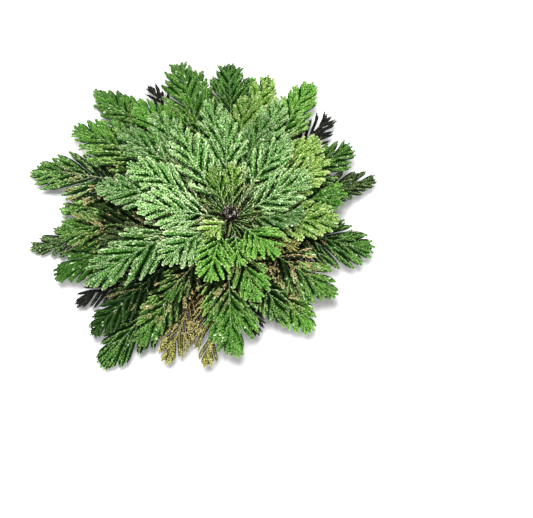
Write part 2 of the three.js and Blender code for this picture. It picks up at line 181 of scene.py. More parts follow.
# the crown's outline below the lowest layer as (height, radius), its top and its ridges; and the
# whorls of dead fronds as (layer, count, first bearing)
FOOT_RINGS = [(0, 13), (1.5, 13.4), (4.2, 11.6), (7.2, 9)]
CROWN_TOP = (26, 1.6)
CROWN_RIDGES = {"count": 5, "depth": 0.07, "twist": 0.35}
ROOTS = {"count": 15, "start_radius": 8, "reach": (19, 25), "half_width": (1.3, 0.4), "uneven": 0.6,
         "wander": 0.5, "heights": (5, 1, 0.9), "knee": 0.5, "seed": 11}
CURLED_TIPS = {"count": 8, "ring": 1.7, "length": 3.4, "half_width": 0.6, "lean": 20, "foot": 24.4}
DEAD_FRONDS = {"whorls": ((-1.5, 9, 8), (-3, 9, 28)), "vary": 6, "reach": (42, 52), "breadth": (16, 20),
               "bend": 12, "sunk": 2.5, "seed": 501}


def blend(low, high, share):
    return low + (high - low) * share


def seeded_draw(seed):
    """Numbers from 0 to 1 that are the same every time."""
    state = seed
    while True:
        state = (state * 1664525 + 1013904223) % 4294967296
        yield state / 4294967296


def crown_radius(layer):
    """How far from the axis a layer starts."""
    return blend(LOWEST_LAYER["radius"], HIGHEST_LAYER["radius"], layer / (LAYERS - 1))


def layer_height(layer, radius):
    heights = []
    for arch in (LOWEST_LAYER, HIGHEST_LAYER):
        out = radius - arch["radius"]
        heights.append(arch["height"] + arch["rise"] * out - arch["fall"] * out * out)
    return blend(heights[0], heights[1], layer / (LAYERS - 1))


class Frond:
    """One frond's place and outline. Flat, u runs along it and w across it. Its rank is 0 in the
    lowest layer and 1 in the highest."""

    def __init__(self, index, row, gap_to_crown=GAP_TO_CROWN):
        self.name, bearing, reach, self.layer, self.breadth, bend, self.kind = row
        self.habit = dict(zip(HABIT, HABITS[self.kind]))
        self.rank = self.layer / (LAYERS - 1)
        self.start = crown_radius(self.layer) + gap_to_crown
        self.length = reach - self.start
        self.bearing = math.radians(bearing)
        self.bend = math.radians(bend)
        self.blade_start = self.length * self.habit["start"]
        self.blade_end = self.length - self.breadth * END_FAN
        self.bare = self.own(BARE_UP_TO, blend(*BARE_FOOT, self.rank))
        self.old = max(blend(*OLD_FOOT, self.rank), self.bare + OLD_BEYOND_BARE)
        self.dried = self.own(DRIED_ON, DRIED)
        self.seed = index + 1

    def own(self, table, usual):
        """What the table says of this very frond, or else what is usual."""
        whorl, _, order = self.name.partition("_")
        return table.get(whorl, {}).get(int(order or 0), usual)

    def branch_angle(self, u):
        share = (u - self.blade_start) / (self.blade_end - self.blade_start)
        return math.radians(blend(*BRANCH_ANGLE, min(max(share, 0), 1)))

    def half_breadth(self, u):
        along = (u - self.blade_start) / (self.length - self.blade_start)
        shifted = min(max(along, 0), 1) ** BLADE_SWELL["shift"]
        swell = math.sin(math.pi * blend(BLADE_SWELL["foot"], 1, shifted))
        return self.breadth / 2 * max(swell, 0) ** BLADE_SWELL["fullness"]

    def ripeness(self, spots):
        """How far a spot is out from the bare foot (0) past the old leaves (1) to the tip (2)."""
        out = np.hypot(spots[:, 0], spots[:, 1]) / self.length
        return np.interp(out, (self.bare, self.old, 1), (0, 1, 2))

    def reach(self, spot, ahead, most):
        """How far a line from the spot goes ahead before it meets the outline, or most at most."""
        near, far = 0.0, float(most)
        while far - near > TINY:
            middle = (near + far) / 2
            end = spot + ahead * middle
            if end.x < self.length and abs(end.y) < self.half_breadth(end.x):
                near = middle
            else:
                far = middle
        return near

    def lay(self, flat):
        """Bends points (u, w, height above the blade) on to the frond's layer, in metres."""
        u, w, height = flat[:, 0], flat[:, 1], flat[:, 2]
        here = self._place(u, w)
        along = self._place(u + TINY, w) - here
        across = self._place(u, w + TINY) - here
        normal = np.cross(along, across)
        normal /= np.linalg.norm(normal, axis=1)[:, None]
        return (here + normal * height[:, None]) * MM

    def _place(self, u, w):
        """Points of the blade in the rosette: the frond bends sideways, mostly at its foot."""
        left = 1 - u / self.length
        radius = self.start + u
        bearing = self.bearing + self.bend * left * left
        heading = bearing + np.arctan(-2 * radius * self.bend * left / self.length)
        x = radius * np.cos(bearing) - w * np.sin(heading)
        y = radius * np.sin(bearing) + w * np.cos(heading)
        z = layer_height(self.layer, np.hypot(x, y)) - DROOP_OF_EDGES * w * w
        return np.stack([AXIS[0] + x, AXIS[1] + y, z], axis=1)


# ---------- small shapes that are repeated ----------

class Shape:
    """Corners and triangles of a small closed shape, with how near each corner is to its rim."""

    def __init__(self, bm, rim):
        bmesh.ops.triangulate(bm, faces=bm.faces)
        bm.verts.index_update()
        self.corners = np.array([vert.co for vert in bm.verts])
        self.triangles = np.array([[vert.index for vert in face.verts] for face in bm.faces])
        self.rim = np.array([rim(vert.co) for vert in bm.verts])
        bm.free()


def scale_leaf(sides, crown, keel):
    """A scale leaf, 1 long and 1 broad, keeled above and flat below, its foot at the origin. Keel
    is how much of the rim's paleness the keel has. Near the foot the rim has little of it."""
    bm = bmesh.new()
    bmesh.ops.create_cone(bm, cap_ends=True, segments=sides, radius1=0.5, radius2=0, depth=crown)
    bmesh.ops.rotate(bm, verts=bm.verts, matrix=Matrix.Rotation(math.pi / 2, 3, "Z"))
    bmesh.ops.translate(bm, verts=bm.verts, vec=(0.5, 0, crown / 2))
    return Shape(bm, lambda co: keel if co.z > crown / 2 else blend(0.2, 1.0, co.x ** 2))


def twig_body(sides, cuts, swell):
    """A body for a twig: 1 long, reaching 1 to each side, cut across so that it can bend, and as
    wide at the foot, the cuts and the end as the swell says."""
    bm = bmesh.new()
    bmesh.ops.create_cone(bm, cap_ends=True, segments=sides, radius1=1, radius2=1, depth=1)
    bmesh.ops.rotate(bm, verts=bm.verts, matrix=Matrix.Rotation(math.pi / 2, 3, "Y"))
    bmesh.ops.translate(bm, verts=bm.verts, vec=(0.5, 0, 0))
    for cut in cuts:
        parts = [*bm.verts, *bm.edges, *bm.faces]
        bmesh.ops.bisect_plane(bm, geom=parts, plane_co=(cut, 0, 0), plane_no=(1, 0, 0))
    for vert in bm.verts:
        size = float(np.interp(vert.co.x, [0, *cuts, 1], swell))
        vert.co.y *= size
        vert.co.z *= size
    return Shape(bm, lambda co: 0.5 - 0.5 * co.z)


SIDE_LEAF = scale_leaf(6, 0.2, 0.1)
TOP_LEAF = scale_leaf(4, 0.26, 0.9)
SPRIG_BODY = twig_body(6, (0.3, 0.7), (0.8, 1, 0.9, 0.4))
AXIS_BODY = twig_body(4, (0.15, 0.4, 0.65, 0.88), (0.8, 1, 1, 0.95, 0.8, 0.5))
RACHIS_BODY = twig_body(6, (0.1, 0.22, 0.36, 0.5, 0.64, 0.78, 0.9), (1, 1, 1, 1, 1, 1, 1, 1, 0.8))
ROOT_BODY = twig_body(8, (0.1, 0.24, 0.36, 0.5, 0.62, 0.76, 0.9),
                      (1.1, 0.95, 1.08, 0.92, 1.1, 0.9, 1.0, 0.85, 0.5))


# ---------- growing a frond flat ----------

class Twigs:
    """Stems or roots. Each is a curve from its foot to its tip, pulled to a knee, and may name
    its half width at the foot and at the tip."""

    def __init__(self, rows):
        columns = (np.array(column, dtype=float) for column in zip(*rows))
        self.foot, self.knee, self.tip, *self.half_width = columns

    def lengths(self):
        """About how long each is: a third of its two straight legs and of twice its straight line."""
        straight = (self.foot, self.tip)
        spans = ((self.foot, self.knee), (self.knee, self.tip), straight, straight)
        return sum(np.linalg.norm(end - start, axis=1) for start, end in spans) / 3

    def course(self, which, share):
        """The place, and the way ahead, at that share of the length of each stem asked for."""
        foot, knee, tip, s = self.foot[which], self.knee[which], self.tip[which], share[:, None]
        spot = foot * (1 - s) ** 2 + knee * 2 * s * (1 - s) + tip * s * s
        ahead = (knee - foot) * (1 - s) + (tip - knee) * s
        return spot, ahead / np.linalg.norm(ahead, axis=1)[:, None]


def new_object(name, data):
    made = bpy.data.objects.new(name, data)
    bpy.context.scene.collection.objects.link(made)
    return made


class Growth:
    """What has grown of a piece so far: corners, triangles and what each corner knows."""

    KNOWS = ("rim", "tint", "ripe", "pale", "dry", "leafy")

    def __init__(self):
        self.flat, self.corners, self.triangles, self.knows = [], [], [], []
        self.count = 0

    def add(self, shape, corners, *knows):
        """Takes in one copy of the shape for each row of corners. The rim is known from the shape;
        the rest of what they know follows, as one value or one for each copy."""
        count, each = corners.shape[:2]
        triangles = shape.triangles[None] + (self.count + np.arange(count) * each)[:, None, None]
        self.flat.append(corners.reshape(-1, 3))
        self.triangles.append(triangles.reshape(-1, 3))
        columns = [np.tile(shape.rim, count)]
        columns += [np.repeat(np.broadcast_to(values, count), each) for values in knows]
        self.knows.append(np.stack(columns, axis=1))
        self.count += count * each

    def stamp(self, shape, at, heading, pitch, roll, size, *knows):
        """Sets a copy of the shape at each place, turned by heading, pitch and roll, and scaled."""
        ch, sh, cp, sp, cr, sr = (f(x) for x in (heading, pitch, roll) for f in (np.cos, np.sin))
        forward = np.stack([ch * cp, sh * cp, sp], axis=1)
        side = np.stack([-sh * cr + ch * sp * sr, ch * cr + sh * sp * sr, -cp * sr], axis=1)
        turned = [axis[:, None, :] * (shape.corners[None, :, k, None] * size[:, None, k, None])
                  for k, axis in enumerate((forward, side, np.cross(forward, side)))]
        self.add(shape, at[:, None, :] + sum(turned), *knows, 1.0)

    def stretch(self, shape, twigs, half_width, half_height, ripe):
        """Draws a copy of the shape out along each twig; its sizes are (at the foot, at the tip)."""
        count, each = len(twigs.foot), len(shape.corners)
        along, aside, above = (np.tile(column, count) for column in shape.corners.T)
        spot, ahead = twigs.course(np.repeat(np.arange(count), each), along)
        left = np.stack([-ahead[:, 1], ahead[:, 0], 0 * along], axis=1)
        left /= np.linalg.norm(left, axis=1)[:, None]
        up = np.cross(ahead, left)
        wide, high = (blend(*(np.repeat(np.broadcast_to(size, count), each) for size in sizes), along)
                      for sizes in (half_width, half_height))
        corners = spot + left * (aside * wide)[:, None] + up * (above * high)[:, None]
        self.add(shape, corners.reshape(count, each, 3), 0.5, ripe, 0.0, 0.0, 0.0)

    def settle(self, lay):
        """Lays what has grown since the last time in its place."""
        self.corners += [lay(corners) for corners in self.flat]
        self.flat = []

    def finish(self, name, materials, replaced, slot):
        """Makes the piece, with one material for stems and one for leaves."""
        corners = np.concatenate(self.corners)
        triangles = np.concatenate(self.triangles)
        knows = np.concatenate(self.knows)
        mesh = bpy.data.meshes.new(name)
        mesh.from_pydata(corners, [], triangles)
        for column, word in enumerate(self.KNOWS):
            values = mesh.attributes.new(word, "FLOAT", "POINT")
            values.data.foreach_set("value", np.ascontiguousarray(knows[:, column], dtype=np.float32))
        for material in materials:
            mesh.materials.append(material)
        leafy = knows[triangles[:, 0], -1] > 0.5
        mesh.polygons.foreach_set("material_index", leafy.astype(np.int32))
        mesh.polygons.foreach_set("use_smooth", ~leafy)
        mesh.update()
        piece = new_object(name, mesh)
        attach(piece, "root")
        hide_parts(replaced)


# The stems, and the leaves on them. Youth is how ripe the leaves on the top are at least, so that
# they stay green, and the ripeness from which that holds.
RACHIS = {
    "half_width": (0.5, 0.25), "half_height": (0.25, 0.25), "end_inset": 3.0, "leafy": 1.1,
    "heights": (0.1, 0.1, 0.3), "youth": (1.1, 0.0),
}
# how far a branch starts behind its leaves, swings from its angle, ends within the outline and
# bows, how much shorter it may be, how the two sides alternate, how far off the axis it starts,
# how high its tip is lifted, and how much of that its knee is
BRANCH = {
    "set_back": 1.0, "swing": 2.2, "inset": 0.75, "bow": 0.04, "half_height": (0.16, 0.16),
    "short": 0.14, "stagger": 0.25, "off_axis": 0.1, "lift": (0.2, 0.4), "most_lift": 0.8, "knee": 0.2,
    "half_room_at_end": 0.6, "youth": (1.2, 0.12),
}
# the sprigs that rise from a branch: how many there are for each millimetre of it, where and at
# what angle they leave it, how long they are and how high they rise
SPRIG = {
    "often": 0.13, "leaves_at": (0.1, 0.7), "angle": (10, 24), "long": (3.5, 7), "least": 1.5,
    "clear_of_rachis": 0.5, "above": 0.1, "rise": (0.4, 0.9), "knee": 0.7, "half_width": 1.4,
}
# the gap between the leaves of two branches, low and high in the rosette
GAP = (0.65, 1.0)
# the web under a branch, a dark sheet for its underleaves and for the painted shade between branches:
# how much of its strip it fills, low and high in the rosette, how much of that on a sprig, and how far
# it is shrunk at the bare foot, in a few layers
SHADE_WEB = {"fills": (1.25, 0.8), "on_sprigs": 0.6, "shrunk": ((0, 5, 7), (0.9, 0.8, 0.25)), "bare": 0.3}

# The scale leaves: how far apart the pairs are and by how much the two of a pair, how far they
# splay and how much of that is lost at a tip, which is how long, and how high they sit.
PAIRS = {
    "step": 1.15, "apart": 0.25, "splay": 30, "closing": 0.25, "tip": 3.5, "height": 0.17,
    "lap": 0.02,
}
# how long a leaf is for each millimetre of its room, the least room, how broad it is for its
# length, how short the last leaves of a stem are, over what length, and how the keels tilt
LEAF = {
    "long": 1.72, "least_room": 0.6, "broad": 0.52, "blunt": 0.55, "blunt_end": 2.0,
    "keel_tilt": 0.3,
}
# the narrow leaves on the top and the leaf at the end of a stem, how long next to the others
TOP_LEAVES = {"long": 1.5, "broad": 0.2, "height": 0.27, "zigzag": 0.07}
END_LEAF = {"long": 1.45, "broad": 0.85, "height": 0.14}
# how unevenly all this grows, and how light it is
UNEVEN = {
    "stem_tint": 0.16, "leaf_tint": 0.13, "wear": 0.06, "heading": 0.09, "pitch": 0.1, "roll": 0.15,
    "long": 0.08,
}
MIDDLE_TINT = 0.5
# what share of the leaves is dry anyway, and how many more on a dried stem
DRY_LEAVES = (0.05, 0.7)
# how long a dead leaf on a bare foot is, next to the others
SHRIVELLED = 0.75
# how pale the rims of the leaves are deep in the frond, at its edge and on the top
PALENESS = {
    "green": (0.2, 0.8, 0.75), "dark": (0.15, 0.75, 0.8), "pale": (0.3, 1.1, 0.75),
    "lime": (0.2, 0.95, 0.7), "olive": (0.2, 0.7, 0.9), "straw": (0.6, 1.0, 1.0),
    "black": (0.1, 0.3, 0.3), "dead": (0.2, 0.5, 0.5),
}
# how much that changes with the frond's own shade, and how many leaves are near white instead, as
# painted glints: paler than any other, so that the finish can tell them
PALER_WITH_SHADE = 0.7
PAINTED_GLINTS = {"often": 0.025, "pale": 3.0, "shows": (1.6, 2.4)}
# how much paler the top leaves are, by ripeness, and low and high in the rosette
VEINS = ((0.4, 1.7), (2.1, 0.85))
VEINS_BY_RANK = (0.95, 1.5)


def towards(angle):
    return Vector((math.cos(angle), math.sin(angle)))


class Sprouting:
    """The branches of a frond and the sprigs that rise from them, as rows for Twigs."""

    def __init__(self, frond, chance):
        self.frond, self.chance, self.branches, self.sprigs = frond, chance, [], []
        self.along_the_blade()
        self.at_the_end()

    def along_the_blade(self):
        """Branches side by side, each in a strip of its own between the rachis and the outline."""
        frond, chance = self.frond, self.chance
        edges = [frond.blade_start]
        while edges[-1] < frond.blade_end:
            edges.append(edges[-1] + frond.habit["apart"] / math.sin(frond.branch_angle(edges[-1])))
        stretch = (frond.blade_end - frond.blade_start) / (edges[-1] - frond.blade_start)
        edges = [frond.blade_start + (edge - frond.blade_start) * stretch for edge in edges]
        for side in (-1, 1):
            for rear, fore in zip(edges, edges[1:]):
                if chance.random() < frond.habit["lost"]:
                    continue
                middle = blend(rear, fore, 0.5 + BRANCH["stagger"] * side)
                angle = frond.branch_angle(middle) + math.radians(chance.normal(0, BRANCH["swing"]))
                spread = (frond.branch_angle(rear) - frond.branch_angle(fore)) / 2
                half_room = (fore - rear) * math.sin(angle) / 2
                self.branch(side, Vector((middle, BRANCH["off_axis"])), angle, half_room, spread)

    def at_the_end(self):
        """A fan of branches at the end of the frond, with the end of the rachis in its middle."""
        wedge = math.radians(BRANCH_ANGLE[1])
        far = self.frond.length - self.frond.blade_end
        to_each_side = max(1, round(far * wedge / self.frond.habit["apart"] - 0.5))
        spread = wedge / (2 * to_each_side + 1)
        foot = Vector((self.frond.blade_end, 0))
        for order in range(-to_each_side, to_each_side + 1):
            side = -1 if order < 0 else 1
            self.branch(side, foot, abs(order) * 2 * spread, BRANCH["half_room_at_end"], spread)

    def branch(self, side, foot, angle, half_room, spread):
        """A branch from the rachis to the outline. Its room widens by the spread on the way."""
        frond, chance = self.frond, self.chance
        short = 1 - chance.uniform(0, BRANCH["short"])
        long = frond.reach(foot, towards(angle), frond.breadth) * short - BRANCH["inset"]
        lift = min(chance.normal(*BRANCH["lift"]), BRANCH["most_lift"]) * frond.habit["rise"]
        start, tip = foot - towards(angle) * BRANCH["set_back"], foot + towards(angle) * long
        knee = foot.lerp(tip, 0.5) + Vector((0, BRANCH["bow"] * long))
        rooms = (half_room + share * long * spread for share in (0, 1))
        heights = (0.0, BRANCH["knee"] * lift, lift)
        self.branches.append((*self.risen((start, knee, tip), heights, side), *rooms))
        for _ in range(round(long * SPRIG["often"] + chance.uniform(-0.5, 0.5))):
            self.sprig(side, foot, tip, angle, lift)

    def sprig(self, side, foot, tip, angle, lift):
        """A sprig that leaves the branch from foot to tip, where there is room for it."""
        frond, chance = self.frond, self.chance
        share = chance.uniform(*SPRIG["leaves_at"])
        angle += math.radians(chance.uniform(*SPRIG["angle"])) * chance.choice((-1, 1))
        leaves_at = foot.lerp(tip, share)
        long = frond.reach(leaves_at, towards(angle), chance.uniform(*SPRIG["long"])) - BRANCH["inset"]
        end = leaves_at + towards(angle) * long
        if long < SPRIG["least"] or end.y < SPRIG["clear_of_rachis"]:
            return
        knee = 2 * BRANCH["knee"]
        base = SPRIG["above"] + lift * share * (knee + (1 - knee) * share)
        high = base + chance.uniform(*SPRIG["rise"]) * frond.habit["rise"]
        points = (leaves_at, leaves_at.lerp(end, 0.5), end)
        rooms = (SPRIG["half_width"],) * 2
        heights = (base, blend(base, high, SPRIG["knee"]), high)
        self.sprigs.append((*self.risen(points, heights, side), *rooms))

    def risen(self, points, heights, side):
        """The points at these heights, on their side of the rachis."""
        return tuple((point.x, side * point.y, height) for point, height in zip(points, heights))


class Leafing:
    """Sets scale leaves on a frond. The foot of the frond, where they have worn off, stays bare."""

    def __init__(self, growth, frond, chance):
        self.growth, self.frond, self.chance = growth, frond, chance
        self.deep, self.edge, self.top = PALENESS[frond.kind]
        self.clinging = np.interp(frond.layer, *CLINGING)
        self.half_gap = (blend(*GAP, frond.rank) + frond.own(SPARSE, 0)) / 2

    def clothe(self, twigs, top, youth):
        """Along each twig, leaves that splay to the left and right by turns and narrow ones on the
        top, and at its end a leaf that points ahead. Top is how pale the top leaves are."""
        frond, chance, lengths = self.frond, self.chance, twigs.lengths()
        steps = np.maximum(2, np.round(lengths / PAIRS["step"])).astype(int)
        which = np.repeat(np.arange(len(steps)), steps + 1)
        order = np.concatenate([np.arange(count + 1) for count in steps])
        share = order / steps[which]
        own = MIDDLE_TINT + frond.shade + chance.normal(0, UNEVEN["stem_tint"], len(steps))
        tint = own[which] + chance.normal(0, UNEVEN["leaf_tint"], len(which))
        anyway, more = DRY_LEAVES
        dried = (chance.random(len(steps)) < frond.dried)[which] * more + anyway

        to_go = lengths[which] * (1 - share)
        fresh = np.clip(1 - to_go / PAIRS["tip"], 0, 1)
        room = blend(twigs.half_width[0][which], twigs.half_width[1][which], share) - self.half_gap
        blunt = np.minimum(LEAF["blunt"] + (1 - LEAF["blunt"]) * to_go / LEAF["blunt_end"], 1)
        long = LEAF["long"] * np.maximum(room, LEAF["least_room"]) * frond.habit["broad"] * blunt

        for hand in (-1, 1):
            turn = hand * math.radians(PAIRS["splay"]) * (1 - PAIRS["closing"] * fresh)
            place = np.clip(share + PAIRS["apart"] * hand / steps[which], 0, 1)
            height = PAIRS["height"] + PAIRS["lap"] * hand
            self.set_leaves(SIDE_LEAF, twigs, which, place, turn, height, long, LEAF["broad"],
                            fresh, tint, dried)
        zigzag = TOP_LEAVES["zigzag"] * ((order % 2) * 2 - 1.0)
        age = frond.ripeness(twigs.course(which, share)[0])
        paler = top * np.interp(age, *VEINS) * blend(*VEINS_BY_RANK, frond.rank)
        self.set_leaves(TOP_LEAF, twigs, which, share, zigzag, TOP_LEAVES["height"],
                        long * TOP_LEAVES["long"], TOP_LEAVES["broad"], paler, tint, dried, youth)
        last = order == steps[which]
        self.set_leaves(SIDE_LEAF, twigs, which[last], share[last], 0.0, END_LEAF["height"],
                        long[last] * END_LEAF["long"], END_LEAF["broad"],
                        fresh[last], tint[last], dried[last])

    def set_leaves(self, shape, twigs, which, share, turn, height, long, broad, fresh, tint, dried,
                   youth=(0.0, 0.0)):
        """A leaf at that share of the length of each twig asked for, turned from its heading. Its
        rims are palest when it is fresh or at the edge of the frond."""
        frond, chance, count = self.frond, self.chance, len(which)
        spot, ahead = twigs.course(which, share)
        ripe = frond.ripeness(spot)
        ripe = np.where(ripe >= youth[1], np.maximum(ripe, youth[0]), ripe)
        bare = ripe < np.abs(chance.normal(0, UNEVEN["wear"], count))
        kept = ~bare | (chance.random(count) < self.clinging)

        heading = np.arctan2(ahead[:, 1], ahead[:, 0]) + turn + chance.normal(0, UNEVEN["heading"], count)
        pitch = np.arcsin(ahead[:, 2]) + chance.normal(0, UNEVEN["pitch"], count)
        roll = LEAF["keel_tilt"] * np.sign(turn) + chance.normal(0, UNEVEN["roll"], count)

        outward = np.abs(spot[:, 1]) / frond.breadth * 2
        onward = (spot[:, 0] - frond.blade_start) / (frond.length - frond.blade_start)
        at_edge = np.clip(np.maximum(outward, onward), 0, 1) ** 3
        pale = blend(self.deep, self.edge, np.maximum(at_edge, fresh))
        pale = pale * (1 + PALER_WITH_SHADE * frond.shade)
        # a few leaves are marked to be painted near white, as glints
        pale = np.where(chance.random(count) < PAINTED_GLINTS["often"] * self.edge, PAINTED_GLINTS["pale"], pale)
        dry = 1.0 * (chance.random(count) < dried)

        long = long * (1 + chance.normal(0, UNEVEN["long"], count)) * np.where(bare, SHRIVELLED, 1.0)
        sizes = np.stack([long, long * broad, long], axis=1)
        parts = (spot + (0, 0, height), heading, pitch, roll, sizes, np.clip(tint, 0, 1), ripe, pale, dry)
        self.growth.stamp(shape, *(part[kept] for part in parts))


def grow_rachis(growth, frond, leafing):
    length = frond.length - RACHIS["end_inset"]
    points = [(along, 0, height) for along, height in zip((0, length / 2, length), RACHIS["heights"])]
    rachis = Twigs([(*points, RACHIS["leafy"], RACHIS["leafy"])])
    growth.stretch(RACHIS_BODY, rachis, RACHIS["half_width"], RACHIS["half_height"], 0.5)
    leafing.clothe(rachis, 1.0, RACHIS["youth"])


def grow_frond(growth, frond):
    chance = np.random.default_rng(frond.seed)
    frond.shade = frond.own(SHADES, 0.0) + chance.normal(0, OWN_SHADE)
    sprouting = Sprouting(frond, chance)
    branches, sprigs = Twigs(sprouting.branches), Twigs(sprouting.sprigs)
    leafing = Leafing(growth, frond, chance)
    grow_rachis(growth, frond, leafing)
    # each twig's axis is drawn out as wide as the web: a dark sheet of painted shade under its leaves
    shade_web = blend(*SHADE_WEB["fills"], frond.rank) * frond.habit["broad"]
    shrunk = np.interp(frond.layer, *SHADE_WEB["shrunk"])
    for twigs, filled in ((branches, shade_web), (sprigs, SHADE_WEB["on_sprigs"] * shade_web)):
        ends = [frond.ripeness(end) for end in (twigs.foot, twigs.tip)]
        widths = [width * filled * np.interp(ripe, (0, SHADE_WEB["bare"]), (shrunk, 1))
                  for ripe, width in zip(ends, twigs.half_width)]
        growth.stretch(AXIS_BODY, twigs, widths, BRANCH["half_height"], ends[0])
        leafing.clothe(twigs, leafing.top, BRANCH["youth"])
    growth.settle(frond.lay)


# ---------- the rootstock ----------

# the thin roots that branch off each root: on what part of it, at what angle, how long, how high
# they arch and where they end above the ground
ROOTLETS = {
    "count": 5, "from": (0.3, 0.9), "angle": (25, 60), "long": (3, 6), "arch": 0.2, "end_height": 0.5,
    "half_width": (0.32, 0.12),
}
# how much of its wander a root has at its knee and at its tip
ROOT_SWAY = (1.3, -0.6)
# the scale leaves on the wood, some of them bright: on the crown, and on its tips
SCALES = {
    "broad": 0.7, "uneven_size": 0.12, "uneven_turn": 0.15, "tint": (0.5, 0.25), "dull": 0.1,
    "bright": 1.2,
}
CROWN_SCALES = {
    "count": 600, "heights": (3.5, 24.5), "long": 1.9, "tilt": 72, "bright": 0.12,
    "bright_above": 17,
}
TIP_SCALES = {"count": 14, "long": 2.0, "tilt": 80, "bright": 0.4, "sunk_to": 0.7}
# how much of their length the curled tips have under their scales
BODY_OF_TIPS = 0.85
# the stubs, from the lowest layer up, of which the first are dead; and how much lighter those of a
# kind are than its fronds, and how far out their leaves are old
STUBS = {
    "count": 130, "dead": 86, "layer": (-0.5, 10.8), "long": (5, 12), "breadth": 8.0, "bend": 25,
    "sunk": 1.0, "vary_shade": 0.2, "bare": -0.1,
}
STUB_LEAVES = {"dead": (0.1, 2.0), "green": (-0.2, 0.9)}


def crown_profile():
    """The crown's outline as (height, radius), through the places where the layers start."""
    rings = [(layer_height(layer, crown_radius(layer)), crown_radius(layer))
             for layer in (*range(0, LAYERS, 2), LAYERS - 1)]
    return [*FOOT_RINGS, *rings, CROWN_TOP]


def crown_place(height, turn):
    """The spot on the crown at that height, in that direction from the axis."""
    heights, radii = zip(*crown_profile())
    ridge = 0.5 + 0.5 * np.cos(CROWN_RIDGES["count"] * turn + CROWN_RIDGES["twist"] * height)
    radius = np.interp(height, heights, radii) * (1 - CROWN_RIDGES["depth"] * ridge)
    lean = np.minimum(height / LOWEST_LAYER["height"], 1)
    x, y = AXIS[0] * lean + radius * np.cos(turn), AXIS[1] * lean + radius * np.sin(turn)
    return np.stack([x, y, height], axis=-1)


def crown_body():
    """A post cut into rings, each as wide as the crown is there."""
    heights = [height for height, radius in crown_profile()]
    bm = bmesh.new()
    bmesh.ops.create_cone(bm, cap_ends=True, segments=40, radius1=1, radius2=1, depth=heights[-1])
    bmesh.ops.translate(bm, verts=bm.verts, vec=(0, 0, heights[-1] / 2))
    for low, high in zip(heights, heights[1:]):
        for cut in (low, (low + high) / 2):
            parts = [*bm.verts, *bm.edges, *bm.faces]
            bmesh.ops.bisect_plane(bm, geom=parts, plane_co=(0, 0, cut), plane_no=(0, 0, 1))
    for vert in bm.verts:
        vert.co = Vector(crown_place(vert.co.z, math.atan2(vert.co.y, vert.co.x)))
    return Shape(bm, lambda co: 0.5)


def grow_scales(growth, chance, spots, outward, rule, bright):
    """Scale leaves that stand at the spots, their keels outward, bright in that share of them."""
    count = len(spots)
    pale = np.where(chance.random(count) < bright, SCALES["bright"], SCALES["dull"])
    size = 1 + chance.normal(0, SCALES["uneven_size"], count)
    sizes = size[:, None] * (rule["long"], rule["long"] * SCALES["broad"], rule["long"])
    pitch = math.pi - math.radians(rule["tilt"]) + chance.normal(0, SCALES["uneven_turn"], count)
    roll = chance.normal(0, SCALES["uneven_turn"], count)
    tint = np.clip(chance.normal(*SCALES["tint"], count), 0, 1)
    growth.stamp(SIDE_LEAF, spots, outward + math.pi, pitch, roll, sizes, tint, 2.0, pale, 0.0)


def grow_crown(growth, chance):
    body = crown_body()
    growth.add(body, body.corners[None], 0.5, 0.5, 0.0, 0.0, 0.0)
    order = np.arange(CROWN_SCALES["count"])
    height = blend(*CROWN_SCALES["heights"], order / len(order))
    turn = order * math.radians(SPIRAL)
    bright = CROWN_SCALES["bright"] * (height > CROWN_SCALES["bright_above"])
    grow_scales(growth, chance, crown_place(height, turn), turn, CROWN_SCALES, bright)


def grow_roots(growth, chance):
    draw = seeded_draw(ROOTS["seed"])
    roots, rootlets = [], []
    for order in range(ROOTS["count"]):
        bearing = (order + ROOTS["uneven"] * next(draw)) / ROOTS["count"] * 2 * math.pi
        reach = blend(*ROOTS["reach"], next(draw))
        wander = (next(draw) - 0.5) * ROOTS["wander"]
        knee_radius = blend(ROOTS["start_radius"], reach, ROOTS["knee"])
        turns = (0.0, *(sway * wander for sway in ROOT_SWAY))
        places = zip((ROOTS["start_radius"], knee_radius, reach), turns, ROOTS["heights"])
        roots.append([(radius * math.cos(bearing + turn), radius * math.sin(bearing + turn), height)
                      for radius, turn, height in places])
        foot, knee, tip = (Vector(point) for point in roots[-1])
        for _ in range(ROOTLETS["count"]):
            share = chance.uniform(*ROOTLETS["from"])
            start = foot.lerp(knee, share).lerp(knee.lerp(tip, share), share)
            turn = math.radians(chance.uniform(*ROOTLETS["angle"])) * chance.choice((-1, 1))
            ahead = (tip - foot).to_2d().normalized()
            ahead.rotate(Matrix.Rotation(turn, 2))
            end = start + chance.uniform(*ROOTLETS["long"]) * ahead.to_3d()
            end.z = ROOTLETS["end_height"]
            rootlets.append((start, start.lerp(end, 0.5) + Vector((0, 0, ROOTLETS["arch"])), end))
    growth.stretch(ROOT_BODY, Twigs(roots), ROOTS["half_width"], ROOTS["half_width"], 0.5)
    growth.stretch(ROOT_BODY, Twigs(rootlets), ROOTLETS["half_width"], ROOTLETS["half_width"], 0.2)


def grow_curled_tips(growth, chance):
    """The rolled young fronds in the middle of the crown, clad in pale scale leaves."""
    lean, thick = math.radians(CURLED_TIPS["lean"]), (CURLED_TIPS["half_width"],) * 2
    count = TIP_SCALES["count"]
    share, around = np.arange(count) / count, np.arange(count) * math.radians(SPIRAL)
    aside = np.stack([np.cos(around), np.sin(around), 0 * around], axis=1)
    for order in range(CURLED_TIPS["count"]):
        turn = order / CURLED_TIPS["count"] * 2 * math.pi
        out = np.array([math.cos(turn), math.sin(turn), 0])
        foot = np.array([*AXIS, CURLED_TIPS["foot"]]) + out * CURLED_TIPS["ring"]
        ahead = out * math.sin(lean) + (0, 0, math.cos(lean))
        tip = foot + ahead * CURLED_TIPS["length"] * BODY_OF_TIPS
        twig = Twigs([(foot, (foot + tip) / 2, tip)])
        growth.stretch(SPRIG_BODY, twig, thick, thick, 0.5)
        spots = twig.course(np.zeros(count, int), share)[0] + aside * thick[0] * TIP_SCALES["sunk_to"]
        grow_scales(growth, chance, spots, around, TIP_SCALES, TIP_SCALES["bright"])


